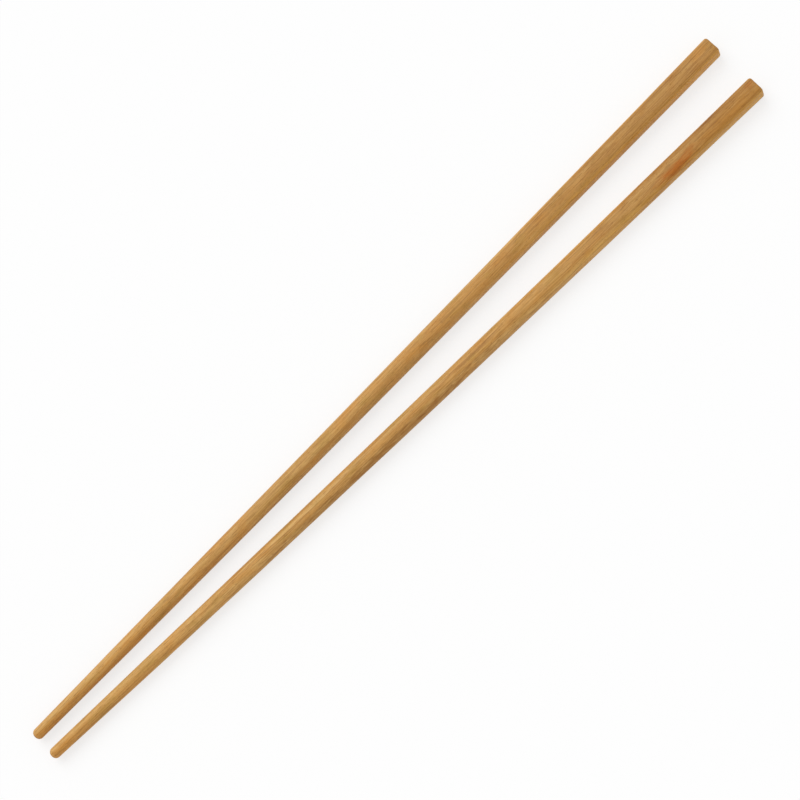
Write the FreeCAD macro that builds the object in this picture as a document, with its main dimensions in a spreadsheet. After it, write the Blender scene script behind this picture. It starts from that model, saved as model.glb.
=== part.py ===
import FreeCAD, Part
import Sketcher
import math
import os

# Pair of long serving chopsticks, each turned and shaped from one length of bamboo.
#
# A stick runs along its own X axis, from the centre of its tip to the centre of its head.
# The shaft is round: it widens from the tip along its front, then less steeply up to the
# neck. From the neck to the head the grip is square and goes on widening, and its corners
# sharpen from the neck's full round to a small radius at the head. Both ends have rounded
# edges.
#
# The pair's frame has +X towards the heads and +Z up, with its origin on the table under
# the middle of the pair. Each stick lies on the lower flat of its grip, and the two spread
# apart from the tips to the heads.

# Driving dimensions, in millimetres.
SIZES = {
    "length": 420.0,
    "grip_length": 189.0,
    "head_side": 8.8,
    "head_corner_radius": 1.8,
    "head_edge_radius": 1.2,
    "neck_diameter": 8.3,
    "front_length": 60.0,
    "front_diameter": 6.35,
    "tip_diameter": 5.15,
    "tip_edge_radius": 2.2,
    "tip_spacing": 11.4,
    "head_spacing": 27.0,
}

# Each stick's side of the middle: +1 is the +Y side.
STICKS = {
    "left_chopstick": 1,
    "right_chopstick": -1,
}

# Where the neck lies along the stick, and the half widths across it.
NECK_X = "(sizes.length - sizes.grip_length)"
HEAD_HALF = "(sizes.head_side / 2)"
NECK_HALF = "(sizes.neck_diameter / 2)"
FRONT_HALF = "(sizes.front_diameter / 2)"
TIP_HALF = "(sizes.tip_diameter / 2)"

# Roundings leave at least a tenth of the half width flat.
HEAD_CORNER = f"min(sizes.head_corner_radius; 0.9 * {HEAD_HALF})"
HEAD_EDGE = f"min(sizes.head_edge_radius; 0.9 * {HEAD_HALF})"
TIP_EDGE = f"min(sizes.tip_edge_radius; 0.9 * {TIP_HALF})"

# A lying stick touches the table at its head and where its underside is lowest before that:
# at the neck, at the end of the front taper or at the tip.
REST_SLOPE = (
    f"min(({HEAD_HALF} - {NECK_HALF}) / sizes.grip_length; "
    f"({HEAD_HALF} - {FRONT_HALF}) / (sizes.length - sizes.front_length); "
    f"({HEAD_HALF} - {TIP_HALF}) / sizes.length)"
)
TILT = f"atan({REST_SLOPE})"
YAW = "asin((sizes.head_spacing - sizes.tip_spacing) / 2 / sizes.length)"

# The cutter that rounds a corner stands out this far past the square.
CUTTER_MARGIN = 1.0

CORNERS = 4

# Points nearer than this lie in the same plane.
SAME_PLACE = 1e-6

# What a sketch constraint counts on a line or an arc: its edge is 0, its start is 1.
POINTS = ("edge", "start", "end", "centre")
ORIGIN = (-1, "start")


def vector(x, y, z=0.0):
    return FreeCAD.Vector(x, y, z)


def make_sheet(doc):
    sheet = doc.addObject("Spreadsheet::Sheet", "sizes")
    for row, (alias, size) in enumerate(SIZES.items(), start=1):
        sheet.set(f"A{row}", alias)
        sheet.set(f"B{row}", str(size))
        sheet.setAlias(f"B{row}", alias)
    doc.recompute()


def value(body, expression):
    """What an expression comes to with the sheet's present sizes."""
    return float(body.evalExpression(expression))


def origin_plane(body, role):
    for feature in body.Origin.OriginFeatures:
        if feature.Role == role:
            return feature
    raise LookupError(f"{body.Label} has no {role}")


def add_sketch(body, name, role):
    sketch = body.newObject("Sketcher::SketchObject", name)
    sketch.AttachmentSupport = (origin_plane(body, role), [""])
    sketch.MapMode = "FlatFace"
    return sketch


def draw_lines(sketch, points):
    """Lines from point to point, each one starting where the one before it ends."""
    for start, end in zip(points, points[1:]):
        line = sketch.addGeometry(Part.LineSegment(start, end), False)
        if line > 0:
            constrain(sketch, "Coincident", line - 1, "end", line, "start")


def constrain(sketch, kind, *geometry):
    """Add a constraint. Geometry is given as its number and, where one is meant, its point."""
    numbers = [POINTS.index(item) if item in POINTS else item for item in geometry]
    return sketch.addConstraint(Sketcher.Constraint(kind, *numbers))


def dimension(sketch, kind, name, expression, *geometry):
    """A named dimension, bound to the sheet."""
    index = constrain(sketch, kind, *geometry, value(sketch, expression))
    sketch.renameConstraint(index, name)
    sketch.setExpression(f"Constraints.{name}", expression)


def finish_sketch(sketch):
    if sketch.solve() != 0 or not sketch.FullyConstrained:
        raise RuntimeError(f"{sketch.Label} is not fully constrained")
    sketch.Document.recompute()


def add_shaft(body):
    """The round part of the stick, from the tip to the neck."""
    outline = add_sketch(body, "shaft_outline", "XY_Plane")
    neck_x = value(body, NECK_X)
    draw_lines(outline, [
        vector(0, 0),
        vector(0, value(body, TIP_HALF)),
        vector(value(body, "sizes.front_length"), value(body, FRONT_HALF)),
        vector(neck_x, value(body, NECK_HALF)),
        vector(neck_x, 0),
        vector(0, 0),
    ])
    tip_face, front_taper, long_taper, neck_face, axis = range(5)
    constrain(outline, "Coincident", axis, "end", tip_face, "start")
    constrain(outline, "Coincident", tip_face, "start", *ORIGIN)
    constrain(outline, "Vertical", tip_face)
    constrain(outline, "Vertical", neck_face)
    constrain(outline, "Horizontal", axis)
    dimension(outline, "DistanceY", "tip_half", TIP_HALF, *ORIGIN, tip_face, "end")
    dimension(outline, "DistanceY", "front_half", FRONT_HALF, *ORIGIN, front_taper, "end")
    dimension(outline, "DistanceY", "neck_half", NECK_HALF, *ORIGIN, long_taper, "end")
    dimension(outline, "DistanceX", "front_x", "sizes.front_length",
              *ORIGIN, front_taper, "end")
    dimension(outline, "DistanceX", "neck_x", NECK_X, *ORIGIN, long_taper, "end")
    finish_sketch(outline)
    shaft = body.newObject("PartDesign::Revolution", "shaft")
    shaft.Profile = outline
    shaft.ReferenceAxis = (outline, ["H_Axis"])
    shaft.Angle = 360
    body.Document.recompute()


def add_grip(body):
    """The square part, widening from the neck to the head. The wedge's own Y runs along it."""
    grip = body.newObject("PartDesign::AdditiveWedge", "grip")
    grip.AttachmentSupport = (origin_plane(body, "XY_Plane"), [""])
    grip.MapMode = "FlatFace"
    along_the_stick = FreeCAD.Rotation(vector(0, 0, 1), -90)
    grip.AttachmentOffset = FreeCAD.Placement(vector(0, 0), along_the_stick)
    grip.setExpression("AttachmentOffset.Base.x", NECK_X)
    grip.Ymin = 0
    grip.setExpression("Ymax", "sizes.grip_length")
    for across in ("X", "Z"):
        grip.setExpression(f"{across}min", f"-{NECK_HALF}")
        grip.setExpression(f"{across}max", NECK_HALF)
        grip.setExpression(f"{across}2min", f"-{HEAD_HALF}")
        grip.setExpression(f"{across}2max", HEAD_HALF)
    body.Document.recompute()


def add_corner_section(body, name, x, half, radius):
    """Across the stick at x: what lies outside one corner of a square with round corners."""
    section = add_sketch(body, name, "YZ_Plane")
    section.setExpression("AttachmentOffset.Base.z", x)
    flat_end = value(body, half)
    centre = flat_end - value(body, radius)
    outside = flat_end + CUTTER_MARGIN
    draw_lines(section, [
        vector(flat_end, centre),
        vector(outside, centre),
        vector(outside, outside),
        vector(centre, outside),
        vector(centre, flat_end),
    ])
    bottom, right, top, left = range(4)
    circle = Part.Circle(vector(centre, centre), vector(0, 0, 1), flat_end - centre)
    corner = section.addGeometry(Part.ArcOfCircle(circle, 0, math.pi / 2), False)
    constrain(section, "Coincident", bottom, "start", corner, "start")
    constrain(section, "Coincident", left, "end", corner, "end")
    for line in (bottom, top):
        constrain(section, "Horizontal", line)
    for line in (right, left):
        constrain(section, "Vertical", line)
    constrain(section, "Horizontal", corner, "centre", corner, "start")
    constrain(section, "Vertical", corner, "centre", corner, "end")
    dimension(section, "Radius", "rounding", radius, corner)
    dimension(section, "DistanceX", "half_width", half, *ORIGIN, corner, "start")
    dimension(section, "DistanceY", "half_height", half, *ORIGIN, corner, "end")
    constrain(section, "DistanceX", bottom, "start", bottom, "end", CUTTER_MARGIN)
    constrain(section, "DistanceY", left, "end", left, "start", CUTTER_MARGIN)
    finish_sketch(section)
    return section


def round_grip_corners(body):
    """Trim the grip's corners, from the neck's full round to the head's small radius."""
    square = body.Shape.Volume
    neck = add_corner_section(body, "neck_corner", NECK_X, NECK_HALF, NECK_HALF)
    head = add_corner_section(body, "head_corner", "sizes.length", HEAD_HALF, HEAD_CORNER)
    corner = body.newObject("PartDesign::SubtractiveLoft", "corner")
    corner.Profile = head
    corner.Sections = [neck]
    corner.Ruled = True
    body.Document.recompute()
    one_cut = square - body.Shape.Volume
    corners = body.newObject("PartDesign::PolarPattern", "corners")
    corners.Originals = [corner]
    corners.Axis = (head, ["N_Axis"])
    corners.Angle = 360
    corners.Occurrences = CORNERS
    body.Tip = corners
    body.Document.recompute()
    all_cuts = square - body.Shape.Volume
    if one_cut <= 0 or abs(all_cuts / one_cut - CORNERS) > 0.01:
        raise RuntimeError(f"{body.Label}: the corner cuts take away {all_cuts} mm3")


def round_end(body, name, x, radius):
    """Round every edge of the flat end face at x."""
    base = body.Tip
    face_x = value(body, x)
    edges = [
        f"Edge{number}"
        for number, edge in enumerate(base.Shape.Edges, start=1)
        if all(abs(vertex.X - face_x) < SAME_PLACE for vertex in edge.Vertexes)
    ]
    rounding = body.newObject("PartDesign::Fillet", name)
    rounding.Base = (base, edges)
    rounding.setExpression("Radius", radius)
    body.Tip = rounding
    body.Document.recompute()


def lay_down(body, side):
    """Set the stick on the table, on its own side of the middle."""
    head_height = f"{HEAD_HALF} * cos({TILT})"
    x = "-sizes.length / 2"
    y = f"{side} * sizes.tip_spacing / 2"
    z = f"{head_height} - sizes.length * sin({TILT})"
    turn = f"rotationz({side} * {YAW}) * rotationy(-{TILT})"
    body.setExpression("Placement", f"placement(vector({x}; {y}; {z}); {turn})")
    body.Document.recompute()


def make_stick(doc, label, side):
    body = doc.addObject("PartDesign::Body", label)
    body.Label = label
    add_shaft(body)
    add_grip(body)
    round_grip_corners(body)
    round_end(body, "head_edges", "sizes.length", HEAD_EDGE)
    round_end(body, "tip_edges", "0", TIP_EDGE)
    lay_down(body, side)
    return body


def check(doc, bodies):
    for feature in doc.Objects:
        faults = {"Invalid", "Error"} & set(feature.State)
        if faults:
            raise RuntimeError(f"{feature.Label} is {sorted(faults)}")
    for body in bodies:
        shape = body.Shape
        if shape.isNull() or not shape.isValid() or len(shape.Solids) != 1:
            raise RuntimeError(f"{body.Label} has no sound single solid")


def main():
    doc = FreeCAD.newDocument("serving_chopsticks")
    make_sheet(doc)
    bodies = [make_stick(doc, label, side) for label, side in STICKS.items()]
    doc.recompute()
    check(doc, bodies)
    os.makedirs("parts", exist_ok=True)
    for body in bodies:
        body.Shape.exportStep(f"parts/{body.Label}.step")
        box = body.Shape.BoundBox
        print(f"{body.Label}: {body.Shape.Volume:.1f} mm3, "
              f"x {box.XMin:.2f} to {box.XMax:.2f}, y {box.YMin:.2f} to {box.YMax:.2f}, "
              f"z {box.ZMin:.3f} to {box.ZMax:.3f}")


main()
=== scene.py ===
"""A pair of long bamboo serving chopsticks, lying side by side on a white table."""

import math

import bmesh
import bpy
from mathutils import Euler, Matrix, Quaternion, Vector


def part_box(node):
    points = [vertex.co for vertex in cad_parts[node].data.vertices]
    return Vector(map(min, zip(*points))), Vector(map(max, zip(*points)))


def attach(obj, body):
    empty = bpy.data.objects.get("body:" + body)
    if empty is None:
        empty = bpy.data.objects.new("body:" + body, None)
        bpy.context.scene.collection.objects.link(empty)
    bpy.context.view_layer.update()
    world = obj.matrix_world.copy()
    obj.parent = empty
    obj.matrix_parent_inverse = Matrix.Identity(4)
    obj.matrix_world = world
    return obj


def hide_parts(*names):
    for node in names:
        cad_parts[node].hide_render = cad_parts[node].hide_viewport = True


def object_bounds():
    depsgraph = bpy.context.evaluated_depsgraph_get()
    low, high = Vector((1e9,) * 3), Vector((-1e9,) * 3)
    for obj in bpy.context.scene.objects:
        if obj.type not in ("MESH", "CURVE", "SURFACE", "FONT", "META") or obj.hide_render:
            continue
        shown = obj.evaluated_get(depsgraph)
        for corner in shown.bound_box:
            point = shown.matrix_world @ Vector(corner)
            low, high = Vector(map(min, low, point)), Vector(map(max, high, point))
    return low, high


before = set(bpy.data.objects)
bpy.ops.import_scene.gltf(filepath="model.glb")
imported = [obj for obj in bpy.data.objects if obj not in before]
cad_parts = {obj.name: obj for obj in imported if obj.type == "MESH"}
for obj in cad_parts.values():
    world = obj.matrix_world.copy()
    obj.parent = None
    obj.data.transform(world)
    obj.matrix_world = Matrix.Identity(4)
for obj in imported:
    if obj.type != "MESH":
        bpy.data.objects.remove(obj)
CAD_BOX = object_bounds()

bl_info = {
    "name": "Serving chopsticks",
    "version": (1, 0, 0),
    "blender": (4, 5, 0),
    "location": "3D View > Sidebar > Chopsticks",
    "description": "Models a pair of bamboo serving chopsticks over their packed solids",
    "category": "Object",
}

MM = 0.001
WHITE = (1.0, 1.0, 1.0, 1.0)

# Each stick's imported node, and its side of the middle: +1 is the +Y side.
STICKS = {
    "left_chopstick": 1,
    "right_chopstick": -1,
}

# The rings of a stick: segments round one corner, segments across one flat, and rings along
# each stretch. Both ends' rounded edges have their own rings.
CORNER_SEGMENTS = 12
FLAT_SEGMENTS = 4
RING_SEGMENTS = 4 * (CORNER_SEGMENTS + FLAT_SEGMENTS)
FRONT_CUTS = 28
SHAFT_CUTS = 78
GRIP_CUTS = 94
TIP_SEGMENTS = 8
HEAD_SEGMENTS = 6

# Points nearer than this along X, in metres, lie at the same place.
SAME_PLACE = 1e-6

# Neighbouring faces that turn by less than this are shaded as one smooth surface.
SMOOTH_ANGLE = math.radians(40)

# About how wide each hollow is that sanding left.
HOLLOW_SIZE = 28 * MM

# The side of the square table, in metres.
TABLE_SIZE = 12.0

# How far apart the two sticks' noise is read, so that they don't share their grain.
SEED_STEP = 10.0

# The layers of grain: each one's length and width in millimetres, its detail, and a shift that
# sets it apart from the others.
GRAINS = {
    "fine fibres": (10, 0.16, 4.0, 0),
    "streaks": (40, 0.6, 2.0, 3),
    "bundle thickness": (60, 1.6, 2.0, 5),
    "bands": (170, 2.6, 2.0, 7),
    "breaks": (30, 0.4, 2.0, 9),
    "pores": (2.5, 0.16, 2.0, 11),
    "ragged rims": (5, 0.7, 2.0, 13),
}

# The fibres don't run quite straight. They sway from side to side by up to this many
# millimetres, over about these lengths, and the shift keeps the two ways of swaying apart.
SWAY = 1.8
SWAY_LENGTH_Y = 85
SWAY_LENGTH_Z = 70
SWAY_SHIFT = 20

# The length and width in millimetres of the soft clouds of colour.
CLOUD_LENGTH = 12
CLOUD_WIDTH = 5

# The fibre bundles' spacing in millimetres, the share by which they stand closer for each
# millimetre towards the skin of the cane, which was on top, and the radius of the thinnest
# and the thickest, as shares of the spacing.
BUNDLE_SPACING = 0.85
BUNDLE_CROWDING = 0.045
BUNDLE_THINNEST = 0.14
BUNDLE_THICKEST = 0.28

# How far a mark stays full and where it is gone, as shares of its reach, and how ragged it is.
MARK_FULL = 0.2
MARK_GONE = 1.1
MARK_RAGGEDNESS = 1.2

# The look of a sawn end starts at the first of these distances from the very end, in
# millimetres, and is full at the second.
END_START = 0.9
END_FULL = 0.1

# How strongly each colour covers what lies under it, at its fullest.
COVER = {
    "warm tip": 0.5,
    "honey clouds": 0.45,
    "olive clouds": 0.5,
    "painted side light": 0.6,
    "painted shade on flats": 0.6,
    "sawn ends": 0.6,
    "pale fibres": 0.5,
    "streaks": 0.22,
    "pores": 0.6,
}

# The same for the dark fibres, which differ between the sawn ends and along the stick.
FINE_FIBRES_ON_ENDS = 0.22
FINE_FIBRES_ALONG_EXTRA = 0.25
BUNDLES_ON_ENDS = 0.6
BUNDLES_ALONG = 0.42


def metres(name, description, default):
    return bpy.props.FloatProperty(
        name=name, description=description, default=default,
        subtype="DISTANCE", unit="LENGTH", precision=5,
    )


def angle(name, description, degrees):
    return bpy.props.FloatProperty(
        name=name, description=description, default=math.radians(degrees),
        subtype="ANGLE", unit="ROTATION",
    )


def number(name, description, default, highest=1.0):
    return bpy.props.FloatProperty(
        name=name, description=description, default=default, min=0.0, max=highest,
    )


def colour(name, description, default):
    return bpy.props.FloatVectorProperty(
        name=name, description=description, default=linear(default),
        size=4, subtype="COLOR", min=0.0, max=1.0,
    )


def linear(shade):
    """A colour given as display values from 0 to 255, as the renderer's linear values."""
    parts = [part / 255 for part in shade]
    light = [
        part / 12.92 if part <= 0.04045 else ((part + 0.055) / 1.055) ** 2.4
        for part in parts
    ]
    return (*light, 1.0)


class StickShape(bpy.types.PropertyGroup):
    """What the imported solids' boxes don't give about a stick's shape."""

    grip_length: metres("Grip length", "From the neck to the head", 189 * MM)
    neck_diameter: metres("Neck diameter", "Where the round shaft meets the grip", 8.3 * MM)
    front_length: metres("Front length", "The steeper taper behind the tip", 60 * MM)
    front_diameter: metres("Front diameter", "At the end of the front taper", 6.35 * MM)
    tip_diameter: metres("Tip diameter", "Before the tip's edge is rounded", 5.15 * MM)
    tip_edge: metres("Tip edge radius", "The rounding of the tip's edge", 2.2 * MM)
    head_corner: metres("Head corner radius", "The corners along the grip, at the head", 1.8 * MM)
    head_edge: metres("Head edge radius", "The rounding of the head's edge", 1.2 * MM)
    left_bow: metres("Left bow", "How far the left stick's middle stands off its chord", 0.4 * MM)
    right_bow: metres("Right bow", "How far the right stick's middle stands off", 0.9 * MM)
    unevenness: metres("Unevenness", "How deep the sanding left hollows", 0.08 * MM)


class StickFinish(bpy.types.PropertyGroup):
    """The colours and the sheen of heat-treated bamboo, among them painted light and painted
    shade.
    """

    caramel: colour("Caramel", "The wood between the fibres", (194, 141, 72))
    # Also the painted highlights on the tops of the sticks, laid as marks.
    straw_and_painted_highlight: colour("Straw", "Its palest bands and fibres", (216, 172, 104))
    fibre: colour("Fibre", "The dark fibre bundles", (122, 72, 28))
    honey: colour("Honey", "The warmer wood here and there and at the tip", (204, 141, 60))
    olive: colour("Olive", "The greener wood here and there", (182, 142, 66))
    # Painted light: the grip's side faces are made paler and yellower, evening out how the key
    # light falls on them.
    painted_side_gold: colour("Gold", "The yellower faces at the sides of the grip", (224, 166, 66))
    # Browner wood, and also painted shade: the grip's top and bottom faces, and marks darker on
    # the -Y sides and along the grip's upper edge.
    toast_and_painted_shade: colour("Toast", "The browner faces above and below on the grip", (163, 111, 47))
    amber: colour("Amber", "The deeper yellow of the right grip", (176, 118, 34))
    stain: colour("Stain", "The reddish mark on the right grip", (177, 98, 18))
    end_grain: colour("End grain", "The sawn ends", (166, 112, 54))
    roughness: number("Roughness", "Of the sanded and oiled wood", 0.5)
    gloss: number("Gloss", "How strongly it reflects", 0.22)
    fibre_depth: metres("Fibre depth", "How deep the pores lie", 0.03 * MM)


class StageSetting(bpy.types.PropertyGroup):
    """The camera, the light and the table."""

    lean: angle("Lean", "Of the camera from overhead towards -Y", 18.0)
    roll: angle("Roll", "Of the camera about its line of sight", -44.5)
    distance: metres("Distance", "From the camera to what it looks at", 1.2)
    aim: metres("Aim", "How far along X the camera looks from the middle", 5.2 * MM)
    lens: number("Lens", "Focal length in millimetres", 124.4, 300.0)
    key_strength: number("Key strength", "Of the soft light from +Y", 1.25, 20.0)
    key_height: angle("Key height", "Of that light above the table", 50.0)
    key_spread: angle("Key spread", "How wide that light is, seen from the table", 50.0)
    sky_strength: number("Sky strength", "Of the even light from all round", 0.69, 5.0)
    table: colour("Table", "The table's white", (252, 252, 252))
    table_glow: number("Table glow", "How much the table's shadow is lightened", 0.7)


class Value:
    """A shader's value, on which Python's arithmetic adds Math nodes."""

    def __init__(self, shader, socket):
        self.shader = shader
        self.socket = socket

    def math(self, operation, *others):
        return self.shader.math(operation, self, *others)

    def __add__(self, other):
        return self.math("ADD", other)

    def __sub__(self, other):
        return self.math("SUBTRACT", other)

    def __mul__(self, other):
        return self.math("MULTIPLY", other)

    def __truediv__(self, other):
        return self.math("DIVIDE", other)

    def __rsub__(self, other):
        return self.shader.math("SUBTRACT", other, self)

    def __rtruediv__(self, other):
        return self.shader.math("DIVIDE", other, self)

    __radd__ = __add__
    __rmul__ = __mul__


class Shader:
    """The node tree of a material or a world, with one method that adds any node."""

    def __init__(self, owner):
        owner.use_nodes = True
        self.tree = owner.node_tree
        self.tree.nodes.clear()

    def node(self, kind, settings=None, inputs=None, output=0):
        """Add a node, set it up, fill its inputs by name or number, and give one output."""
        made = self.tree.nodes.new(kind)
        for name, setting in (settings or {}).items():
            setattr(made, name, setting)
        for name, value in (inputs or {}).items():
            if isinstance(value, Value):
                self.tree.links.new(value.socket, made.inputs[name])
            else:
                made.inputs[name].default_value = value
        return Value(self, made.outputs[output]) if made.outputs else None

    def math(self, operation, *values):
        return self.node(
            "ShaderNodeMath", {"operation": operation}, dict(enumerate(values)),
        )

    def step(self, value, low, high):
        """0 up to low, 1 from high on, and smooth between; low may be the larger."""
        return self.node(
            "ShaderNodeMapRange",
            {"interpolation_type": "SMOOTHSTEP"},
            {"Value": value, "From Min": low, "From Max": high},
        )

    def mix(self, factor, first, second):
        """A colour between two."""
        inputs = {0: factor, 6: first, 7: second}
        return self.node("ShaderNodeMix", {"data_type": "RGBA"}, inputs, output=2)

    def vector(self, x, y, z):
        return self.node("ShaderNodeCombineXYZ", None, {"X": x, "Y": y, "Z": z})

    def noise(self, at, detail):
        """Noise about a half, from 0 to 1."""
        inputs = {"Vector": at, "Scale": 1.0, "Detail": detail}
        return self.node("ShaderNodeTexNoise", None, inputs)

    def sway(self, along):
        """Noise that depends on one value, from about -0.5 to 0.5."""
        inputs = {"W": along, "Scale": 1.0, "Detail": 1.0}
        return self.node("ShaderNodeTexNoise", {"noise_dimensions": "1D"}, inputs) - 0.5


def deselect_all():
    bpy.ops.object.select_all(action="DESELECT")


def edit_mesh(stick):
    bpy.context.view_layer.objects.active = stick
    bpy.ops.object.mode_set(mode="EDIT")
    bpy.ops.mesh.select_mode(type="EDGE")


def select_edges(stick, wanted):
    """In edit mode: select the edges that pass the test, and nothing else."""
    bpy.ops.mesh.select_all(action="DESELECT")
    mesh = bmesh.from_edit_mesh(stick.data)
    for edge in mesh.edges:
        if wanted(edge):
            edge.select_set(True)
    bmesh.update_edit_mesh(stick.data)


def lies_at(*places):
    """A test for edges that lie across the stick at one of these places along X."""
    def test(edge):
        return any(
            all(abs(vertex.co.x - place) < SAME_PLACE for vertex in edge.verts)
            for place in places
        )
    return test


def runs_between(start, end):
    """A test for edges that run the whole way along X from start to end."""
    def test(edge):
        first, last = sorted(vertex.co.x for vertex in edge.verts)
        return abs(first - start) < SAME_PLACE and abs(last - end) < SAME_PLACE
    return test


def extrude_ring(start, end, growth):
    """Draw the selected ring out along X from start to end, and scale it there."""
    bpy.ops.mesh.extrude_region_move(TRANSFORM_OT_translate={"value": (end - start, 0, 0)})
    bpy.ops.transform.resize(value=(1, growth, growth), center_override=(end, 0, 0))


def round_end(stick, place, radius, segments):
    """Close the open ring at the end of the stick, and round its edge."""
    select_edges(stick, lies_at(place))
    bpy.ops.mesh.edge_face_add()
    select_edges(stick, lies_at(place))
    bpy.ops.mesh.bevel(offset=radius, segments=segments, affect="EDGES", clamp_overlap=False)


def model_stick(name, shape, length, head_side):
    """A straight stick along X about its middle, tip towards -X."""
    tip_x = -length / 2
    front_x = tip_x + shape.front_length
    head_x = length / 2
    neck_x = head_x - shape.grip_length
    deselect_all()
    bpy.ops.mesh.primitive_circle_add(
        vertices=RING_SEGMENTS, radius=shape.tip_diameter / 2,
        location=(tip_x, 0, 0), rotation=(0, math.pi / 2, 0),
    )
    bpy.ops.object.transform_apply(location=True, rotation=True, scale=True)
    stick = bpy.context.object
    stick.name = name
    stick.data.name = name
    edit_mesh(stick)
    bpy.ops.mesh.select_all(action="SELECT")
    extrude_ring(tip_x, front_x, shape.front_diameter / shape.tip_diameter)
    extrude_ring(front_x, neck_x, shape.neck_diameter / shape.front_diameter)
    add_head_ring(stick, shape, head_x, head_side)
    select_edges(stick, lies_at(neck_x, head_x))
    bpy.ops.mesh.bridge_edge_loops(number_cuts=GRIP_CUTS, interpolation="LINEAR")
    round_end(stick, tip_x, shape.tip_edge, TIP_SEGMENTS)
    round_end(stick, head_x, shape.head_edge, HEAD_SEGMENTS)
    select_edges(stick, runs_between(tip_x + shape.tip_edge, front_x))
    bpy.ops.mesh.subdivide(number_cuts=FRONT_CUTS)
    select_edges(stick, runs_between(front_x, neck_x))
    bpy.ops.mesh.subdivide(number_cuts=SHAFT_CUTS)
    bpy.ops.mesh.select_all(action="SELECT")
    bpy.ops.mesh.normals_make_consistent(inside=False)
    bpy.ops.object.mode_set(mode="OBJECT")
    return stick


def add_head_ring(stick, shape, head_x, head_side):
    """A square ring with rounded corners, with as many segments as the round ones."""
    bpy.ops.mesh.select_all(action="DESELECT")
    bpy.ops.mesh.primitive_plane_add(
        size=head_side, location=(head_x, 0, 0), rotation=(0, math.pi / 2, 0),
    )
    bpy.ops.mesh.bevel(offset=shape.head_corner, segments=CORNER_SEGMENTS, affect="VERTICES")
    bpy.ops.mesh.delete(type="ONLY_FACE")
    at_head = lies_at(head_x)
    corner_step = shape.head_corner * math.pi / 2 / CORNER_SEGMENTS
    select_edges(stick, lambda edge: at_head(edge) and edge.calc_length() > 2 * corner_step)
    bpy.ops.mesh.subdivide(number_cuts=FLAT_SEGMENTS - 1)


def apply_modifiers(stick):
    deselect_all()
    stick.select_set(True)
    bpy.context.view_layer.objects.active = stick
    for modifier in list(stick.modifiers):
        bpy.ops.object.modifier_apply(modifier=modifier.name)


def bow_stick(stick, bow, length):
    """Bend the stick a little, so that its middle stands off towards -Y by the bow."""
    bend = stick.modifiers.new("bow", "SIMPLE_DEFORM")
    bend.deform_method = "BEND"
    bend.deform_axis = "Z"
    # A shallow arc stands off its chord by its length times its angle over eight.
    bend.angle = 8 * bow / length
    apply_modifiers(stick)
    stick.data.transform(Matrix.Translation((0, -bow, 0)))


def roughen(stick, depth):
    """Hollow the surface here and there, as sanding does. It never stands proud."""
    hollows = bpy.data.textures.new(f"{stick.name}_hollows", "CLOUDS")
    hollows.noise_scale = HOLLOW_SIZE
    hollows.noise_depth = 1
    sanding = stick.modifiers.new("sanding", "DISPLACE")
    sanding.texture = hollows
    sanding.texture_coords = "LOCAL"
    sanding.mid_level = 1.0
    sanding.strength = depth
    apply_modifiers(stick)


class Pose:
    """Where a stick lies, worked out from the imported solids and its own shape."""

    def __init__(self, node, side, shape):
        low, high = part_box(node)
        self.length = high.x - low.x
        self.head_side = high.z - low.z
        inner, outer = sorted((abs(low.y), abs(high.y)))
        tip_y = inner + shape.tip_diameter / 2
        head_y = outer - self.head_side / 2
        rise = (self.head_side - shape.neck_diameter) / 2
        self.yaw = side * math.asin((head_y - tip_y) / self.length)
        self.tilt = math.atan(rise / shape.grip_length)
        head_z = self.head_side / 2 * math.cos(self.tilt)
        middle_z = head_z - self.length / 2 * math.sin(self.tilt)
        self.middle = Vector(((low.x + high.x) / 2, side * (tip_y + head_y) / 2, middle_z))
        self.turn = Euler((0, -self.tilt, self.yaw))

    def matrix(self):
        return Matrix.Translation(self.middle) @ self.turn.to_matrix().to_4x4()


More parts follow.
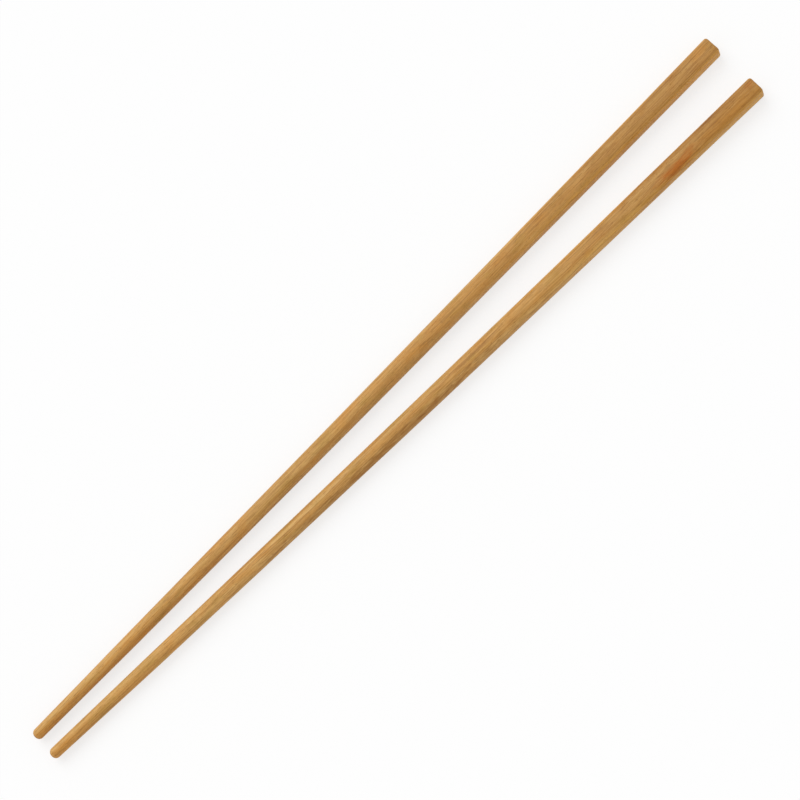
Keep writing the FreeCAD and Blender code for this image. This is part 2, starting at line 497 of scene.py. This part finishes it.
class Bamboo:
    """Heat-treated bamboo whose fibres run along a stick that lies in this pose."""

    def __init__(self, name, pose, finish, seed):
        self.material = bpy.data.materials.new(name)
        self.shader = s = Shader(self.material)
        self.finish = finish
        self.seed = seed
        self.half_length = pose.length / 2 / MM
        self.half_side = pose.head_side / 2 / MM
        coordinates = s.node("ShaderNodeTexCoord", output="Object")
        place = {
            "Vector": coordinates,
            "Location": pose.middle,
            "Rotation": pose.turn,
            "Scale": (MM, MM, MM),
        }
        # From here on in millimetres: x along the stick from its middle, y and z across it.
        local = s.node("ShaderNodeMapping", {"vector_type": "TEXTURE"}, place)
        self.x, self.y, self.z = (
            s.node("ShaderNodeSeparateXYZ", None, {"Vector": local}, output=axis)
            for axis in range(3)
        )
        # Across the swaying fibres.
        self.across_y = self.y + s.sway(self.x / SWAY_LENGTH_Y + seed) * SWAY
        self.across_z = self.z + s.sway(self.x / SWAY_LENGTH_Z + seed + SWAY_SHIFT) * SWAY

    def grain(self, layer):
        """One layer of the grain: streaks along the stick, as noise from 0 to 1."""
        length, width, detail, shift = GRAINS[layer]
        along = self.x / length + self.seed + shift
        place = self.shader.vector(along, self.across_y / width, self.across_z / width)
        return self.shader.noise(place, detail)

    def bundles(self, fine):
        """The dark fibre bundles: dots on the sawn ends, and long lines along the stick."""
        s = self.shader
        crowding = 1 + self.across_z * BUNDLE_CROWDING
        across = self.across_z * crowding / BUNDLE_SPACING
        place = s.vector(self.across_y / BUNDLE_SPACING, across, 0.0)
        distance = s.node(
            "ShaderNodeTexVoronoi",
            {"voronoi_dimensions": "2D", "feature": "F1"},
            {"Vector": place, "Scale": 1.0, "Randomness": 0.8},
        )
        thickening = s.step(self.grain("bundle thickness"), 0.4, 0.65)
        radius = BUNDLE_THINNEST + thickening * (BUNDLE_THICKEST - BUNDLE_THINNEST)
        ragged = distance + (fine - 0.5) * 0.2
        return s.step(ragged / radius, 1.4, 0.6)

    def mark(self, middle, reach):
        """A soft, ragged patch about a point of the stick, close to 1 at its middle."""
        s = self.shader
        (x, y, z), (reach_x, reach_y, reach_z) = middle, reach
        place = s.vector((self.x - x) / reach_x, (self.y - y) / reach_y, (self.z - z) / reach_z)
        distance = s.node(
            "ShaderNodeVectorMath", {"operation": "LENGTH"}, {0: place}, output="Value",
        )
        ragged = distance + (self.grain("ragged rims") - 0.5) * MARK_RAGGEDNESS
        return s.step(ragged, MARK_GONE, MARK_FULL)

    def cover(self, wood, layer, where, shade):
        """Lay a colour over the wood where the mask says, as strongly as its layer goes."""
        return self.shader.mix(where * COVER[layer], wood, shade)

    def tones(self):
        """The wood's broad colours: bands, clouds and the warm tip, with painted light and
        painted shade on the grip's faces.
        """
        s, finish, half = self.shader, self.finish, self.half_length
        bands = self.grain("bands")
        along = self.x / CLOUD_LENGTH + self.seed
        clouds = s.noise(s.vector(along, self.y / CLOUD_WIDTH, self.z / CLOUD_WIDTH), 3.0)
        wood = s.mix(s.step(bands, 0.36, 0.68), finish.caramel, finish.straw_and_painted_highlight)
        wood = self.cover(wood, "warm tip", s.step(self.x, -0.3 * half, -half), finish.honey)
        wood = self.cover(wood, "honey clouds", s.step(clouds, 0.5, 0.68), finish.honey)
        wood = self.cover(wood, "olive clouds", s.step(clouds, 0.5, 0.32), finish.olive)
        # Painted light and painted shade on the grip: paler, yellower side faces and darker top
        # and bottom faces, evening out the key light's shading.
        on_grip = s.step(self.x, 0.2 * half, 0.75 * half)
        flat = s.step(self.z.math("ABSOLUTE"), 0.7 * self.half_side, self.half_side)
        wood = self.cover(wood, "painted side light", on_grip * (1 - flat), finish.painted_side_gold)
        return self.cover(wood, "painted shade on flats", on_grip * flat, finish.toast_and_painted_shade)

    def build(self, marks):
        """Lay the wood's colours one over another, then its bump and sheen."""
        s, finish = self.shader, self.finish
        half = self.half_length
        ends = s.step(self.x.math("ABSOLUTE"), half - END_START, half - END_FULL)
        along = 1 - ends
        fine = self.grain("fine fibres")
        streaks = self.grain("streaks")
        bundles = self.bundles(fine)
        unbroken = s.step(self.grain("breaks"), 0.3, 0.6)
        pores = s.step(self.grain("pores"), 0.6, 0.72) * along

        wood = self.cover(self.tones(), "sawn ends", ends, finish.end_grain)
        wood = self.cover(wood, "pale fibres", s.step(fine, 0.5, 0.3) * along, finish.straw_and_painted_highlight)
        wood = self.cover(wood, "streaks", s.step(streaks, 0.5, 0.7) * along, finish.fibre)
        # The dark fibres are laid over the marks, so they show through them.
        for middle, reach, shade, strength in marks:
            wood = s.mix(self.mark(middle, reach) * strength, wood, shade)
        fine_strength = along * FINE_FIBRES_ALONG_EXTRA + FINE_FIBRES_ON_ENDS
        wood = s.mix(s.step(fine, 0.5, 0.7) * fine_strength, wood, finish.fibre)
        bundle_strength = unbroken * along * BUNDLES_ALONG + ends * BUNDLES_ON_ENDS
        wood = s.mix(bundles * bundle_strength, wood, finish.fibre)
        wood = self.cover(wood, "pores", pores, finish.fibre)

        height = 1 - fine * 0.35 - bundles * 0.3 - pores
        bump = s.node(
            "ShaderNodeBump", None,
            {"Height": height, "Strength": 1.0, "Distance": finish.fibre_depth},
        )
        surface = s.node(
            "ShaderNodeBsdfPrincipled", None,
            {
                "Base Color": wood,
                "Roughness": finish.roughness + (fine - 0.5) * 0.2 + pores * 0.15,
                "Specular IOR Level": finish.gloss,
                "Normal": bump,
            },
        )
        s.node("ShaderNodeOutputMaterial", None, {"Surface": surface})
        return self.material


def seen_directly(s):
    """1 where the camera, or something shiny or clear, looks straight at a surface."""
    camera, glossy, clear = (
        s.node("ShaderNodeLightPath", output=ray)
        for ray in ("Is Camera Ray", "Is Glossy Ray", "Is Transmission Ray")
    )
    return camera.math("MAXIMUM", glossy).math("MAXIMUM", clear)


def table_white(shade, glow):
    """A white that lights as a matt table does and keeps only a light shadow."""
    material = bpy.data.materials.new("table_white")
    s = Shader(material)
    matt = s.node("ShaderNodeBsdfDiffuse", None, {"Color": shade})
    white = s.node("ShaderNodeEmission", None, {"Color": WHITE, "Strength": 1.0})
    surface = s.node("ShaderNodeMixShader", None, {0: seen_directly(s) * glow, 1: matt, 2: white})
    s.node("ShaderNodeOutputMaterial", None, {"Surface": surface})
    return material


def white_sky(strength):
    """A sky that is plain white to look at and lights at this strength."""
    world = bpy.data.worlds.new("white_sky")
    s = Shader(world)
    light = s.node("ShaderNodeBackground", None, {"Color": WHITE, "Strength": strength})
    backdrop = s.node("ShaderNodeBackground", None, {"Color": WHITE, "Strength": 1.0})
    sky = s.node("ShaderNodeMixShader", None, {0: seen_directly(s), 1: light, 2: backdrop})
    s.node("ShaderNodeOutputWorld", None, {"Surface": sky})
    return world


class CHOPSTICKS_OT_sticks(bpy.types.Operator):
    """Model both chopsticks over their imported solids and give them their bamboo"""

    bl_idname = "chopsticks.sticks"
    bl_label = "Chopsticks"

    def marks(self, node, finish):
        """Each stick's own marks: middle and reach in millimetres, colour and strength. Some are
        painted highlights and painted shade, as noted.
        """
        if node == "left_chopstick":
            return [
                # Painted highlight, in the next mark: paler wood on the tip's top towards +Y,
                # where the light falls.
                ((-182, 1.0, 2.4), (74, 2.0, 2.4), finish.straw_and_painted_highlight, 0.7),
                ((-75, -0.4, 3.2), (48, 2.0, 2.4), finish.toast_and_painted_shade, 0.35),
                # Painted shade, in the next two marks: darker on the -Y side, away from the key
                # light, along the shaft and on the grip's side face.
                ((-10, -2.9, 1.5), (90, 1.8, 3.0), finish.toast_and_painted_shade, 0.3),
                ((145, -4.4, 0.5), (45, 2.2, 3.5), finish.toast_and_painted_shade, 0.35),
                # Painted shade, in the next mark: a darker line along the grip's top at its +Y
                # edge.
                ((150, 2.4, 4.2), (75, 1.5, 2.4), finish.toast_and_painted_shade, 0.4),
                ((150, -2.6, 4.2), (70, 1.3, 2.2), finish.toast_and_painted_shade, 0.3),
                ((203, 1.5, 4.4), (8, 2.5, 2.5), finish.honey, 0.5),
            ]
        return [
            # Painted highlight, in the next mark: paler wood on the tip's top towards +Y, where
            # the light falls.
            ((-182, 1.0, 2.4), (74, 2.0, 2.4), finish.straw_and_painted_highlight, 0.55),
            # Painted shade, in the next mark: darker on the -Y side of the shaft, away from the
            # key light.
            ((0, -3.5, 1.2), (110, 2.6, 3.2), finish.toast_and_painted_shade, 1.0),
            # Painted highlights, in the next two marks: paler bands along the top of the shaft
            # and of the grip.
            ((-5, 0.5, 3.6), (75, 1.5, 2.0), finish.straw_and_painted_highlight, 0.4),
            ((160, 0.9, 4.2), (62, 1.3, 2.4), finish.straw_and_painted_highlight, 0.35),
            # Painted shade, in the next mark: darker on the grip's -Y side face, away from the
            # key light.
            ((150, -4.4, 0.5), (38, 2.2, 3.5), finish.toast_and_painted_shade, 0.5),
            # Painted shade, in the next mark: a darker line along the grip's top at its +Y edge.
            ((170, 3.2, 4.2), (62, 1.5, 1.8), finish.toast_and_painted_shade, 0.6),
            ((172, -4.3, 2.4), (52, 1.6, 2.0), finish.amber, 0.5),
            ((188, 0, 2.0), (36, 7.0, 7.0), finish.toast_and_painted_shade, 0.3),
            ((192, -1.8, 3.5), (30, 3.4, 4.0), finish.amber, 0.55),
            ((160, -2.7, 4.0), (13, 2.8, 3.0), finish.stain, 0.85),
            ((169, -0.8, 4.4), (5, 1.8, 2.5), finish.stain, 0.4),
            ((184, 3.0, 4.0), (8, 1.2, 1.5), finish.fibre, 0.6),
            ((207, 1.5, 4.2), (3, 1.6, 2.0), finish.stain, 0.4),
        ]

    def execute(self, context):
        shape = context.scene.stick_shape
        finish = context.scene.stick_finish
        bows = {"left_chopstick": shape.left_bow, "right_chopstick": shape.right_bow}
        for seed, (node, side) in enumerate(STICKS.items(), start=1):
            pose = Pose(node, side, shape)
            stick = model_stick(f"{node}_bamboo", shape, pose.length, pose.head_side)
            bow_stick(stick, bows[node], pose.length)
            stick.data.transform(pose.matrix())
            roughen(stick, shape.unevenness)
            deselect_all()
            stick.select_set(True)
            bpy.ops.object.shade_smooth_by_angle(angle=SMOOTH_ANGLE)
            wood = Bamboo(f"{node}_bamboo", pose, finish, SEED_STEP * seed)
            stick.data.materials.append(wood.build(self.marks(node, finish)))
            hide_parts(node)
            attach(stick, "root")
        return {"FINISHED"}


class CHOPSTICKS_OT_stage(bpy.types.Operator):
    """Set up the table, the light and the camera"""

    bl_idname = "chopsticks.stage"
    bl_label = "Table, light and camera"

    def execute(self, context):
        setting = context.scene.stage_setting
        self.add_table(setting)
        self.add_light(context.scene, setting)
        self.add_camera(context.scene, setting)
        return {"FINISHED"}

    def add_table(self, setting):
        deselect_all()
        bpy.ops.mesh.primitive_plane_add(size=TABLE_SIZE, location=(0, 0, CAD_BOX[0].z))
        bpy.ops.object.transform_apply(location=True, rotation=True, scale=True)
        table = bpy.context.object
        table.name = "table"
        table.data.materials.append(table_white(setting.table, setting.table_glow))

    def add_light(self, scene, setting):
        deselect_all()
        from_overhead = math.pi / 2 - setting.key_height
        bpy.ops.object.light_add(type="SUN", rotation=(-from_overhead, 0, 0))
        key = bpy.context.object
        key.name = "key_light"
        key.data.energy = setting.key_strength
        key.data.angle = setting.key_spread
        scene.world = white_sky(setting.sky_strength)

    def add_camera(self, scene, setting):
        """Look down at the pair, leaning to one side, with the sticks across the picture."""
        back = Vector((0, -math.sin(setting.lean), math.cos(setting.lean)))
        turn = Quaternion((1, 0, 0), setting.lean) @ Quaternion((0, 0, 1), setting.roll)
        deselect_all()
        bpy.ops.object.camera_add(
            location=Vector((setting.aim, 0, 0)) + back * setting.distance,
            rotation=turn.to_euler(),
        )
        camera = bpy.context.object
        camera.name = "camera"
        camera.data.lens = setting.lens
        scene.camera = camera


class CHOPSTICKS_PT_panel(bpy.types.Panel):
    """The chopsticks' sizes, finish and stage"""

    bl_idname = "CHOPSTICKS_PT_panel"
    bl_label = "Serving chopsticks"
    bl_space_type = "VIEW_3D"
    bl_region_type = "UI"
    bl_category = "Chopsticks"

    def draw(self, context):
        for operator, group in PANEL_ROWS:
            self.layout.operator(operator.bl_idname)
            for group_name in group:
                settings = getattr(context.scene, group_name)
                for name in settings.bl_rna.properties.keys():
                    if name not in ("rna_type", "name"):
                        self.layout.prop(settings, name)


PANEL_ROWS = (
    (CHOPSTICKS_OT_sticks, ("stick_shape", "stick_finish")),
    (CHOPSTICKS_OT_stage, ("stage_setting",)),
)

GROUPS = {
    "stick_shape": StickShape,
    "stick_finish": StickFinish,
    "stage_setting": StageSetting,
}

CLASSES = (
    *GROUPS.values(),
    CHOPSTICKS_OT_sticks,
    CHOPSTICKS_OT_stage,
    CHOPSTICKS_PT_panel,
)


def register():
    for made in CLASSES:
        bpy.utils.register_class(made)
    for name, group in GROUPS.items():
        setattr(bpy.types.Scene, name, bpy.props.PointerProperty(type=group))


def unregister():
    for name in GROUPS:
        delattr(bpy.types.Scene, name)
    for made in reversed(CLASSES):
        bpy.utils.unregister_class(made)


def main():
    register()
    bpy.ops.chopsticks.sticks()
    bpy.ops.chopsticks.stage()
    bpy.context.scene.view_settings.view_transform = "Standard"


if __name__ == "__main__":
    main()
